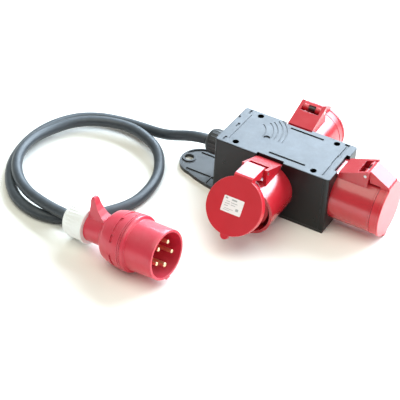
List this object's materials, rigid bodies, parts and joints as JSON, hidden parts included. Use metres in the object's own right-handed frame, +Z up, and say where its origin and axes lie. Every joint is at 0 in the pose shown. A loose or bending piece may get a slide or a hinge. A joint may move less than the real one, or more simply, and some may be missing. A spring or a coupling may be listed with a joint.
{
  "type": "portable power distribution box",
  "caption": "Portable three-phase power splitter: black box with hinged-lid 5-pin sockets, a hanging tab, and a rubber supply cable ending in a 5-pin plug.",
  "frame": {"origin": "centre of the housing's underside, on the floor", "axes": "+X along the housing's length towards the end socket, -Y towards the front socket, +Z up"},
  "size_m": [0.496, 0.3724, 0.1012],
  "materials": {
    "black_housing": "satin",
    "red_plastic": "glossy",
    "dark_insert": "satin",
    "red_insert": "satin",
    "brass": "glossy",
    "nickel_pin": "glossy",
    "steel": "glossy",
    "seal_rubber": "satin",
    "cable_rubber": "satin",
    "white_nut": "glossy",
    "label_white": "satin",
    "wire_insulation": "glossy"
  },
  "bodies": {
    "box": {"back_socket_body": "red_plastic", "back_socket_earth_contact": "brass", "back_socket_gasket": "seal_rubber", "back_socket_hinge_pin": "steel", "back_socket_hinge_spring": "steel", "back_socket_insert": "red_insert", "back_socket_live_contacts": "brass", "back_socket_ring_nut": "black_housing", "back_wires": "wire_insulation", "base_gasket": "seal_rubber", "base_plate": "black_housing", "cable": "cable_rubber", "end_socket_body": "red_plastic", "end_socket_earth_contact": "brass", "end_socket_gasket": "seal_rubber", "end_socket_hinge_pin": "steel", "end_socket_hinge_spring": "steel", "end_socket_insert": "red_insert", "end_socket_live_contacts": "brass", "end_socket_ring_nut": "black_housing", "end_wires": "wire_insulation", "feed_wires": "wire_insulation", "front_socket_body": "red_plastic", "front_socket_earth_contact": "brass", "front_socket_gasket": "seal_rubber", "front_socket_hinge_pin": "steel", "front_socket_hinge_spring": "steel", "front_socket_insert": "red_insert", "front_socket_live_contacts": "brass", "front_socket_ring_nut": "black_housing", "front_wires": "wire_insulation", "gland_body": "black_housing", "gland_locknut": "black_housing", "gland_nut": "black_housing", "gland_seal": "seal_rubber", "housing_screws": "steel", "housing_shell": "black_housing", "plug_earth_pin": "nickel_pin", "plug_grommet": "seal_rubber", "plug_insert": "red_insert", "plug_live_pins": "nickel_pin", "plug_nut": "white_nut", "plug_rear_housing": "red_plastic", "plug_seal": "seal_rubber", "plug_shroud": "red_plastic", "terminal_body": "dark_insert", "terminal_clamps": "brass", "terminal_screws": "steel"},
    "front_lid": {"front_lid": "red_plastic", "front_lid_seal": "seal_rubber", "rating_label": "label_white"},
    "back_lid": {"back_lid": "red_plastic", "back_lid_seal": "seal_rubber"},
    "end_lid": {"end_lid": "red_plastic", "end_lid_seal": "seal_rubber"}
  },
  "joints": [
    {"name": "front_lid_hinge", "type": "hinge", "parent": "box", "child": "front_lid", "pos_m": [-0.0023, -0.07905, 0.0914], "axis": [-1, 0, 0], "range_deg": [-33, 97], "stiffness_Nm_per_rad": 0.25},
    {"name": "back_lid_hinge", "type": "hinge", "parent": "box", "child": "back_lid", "pos_m": [-0.0023, 0.07905, 0.0914], "axis": [1, 0, 0], "range_deg": [0, 130], "stiffness_Nm_per_rad": 0.25},
    {"name": "end_lid_hinge", "type": "hinge", "parent": "box", "child": "end_lid", "pos_m": [0.1174, 0, 0.0914], "axis": [0, -1, 0], "range_deg": [0, 130], "stiffness_Nm_per_rad": 0.25}
  ]
}
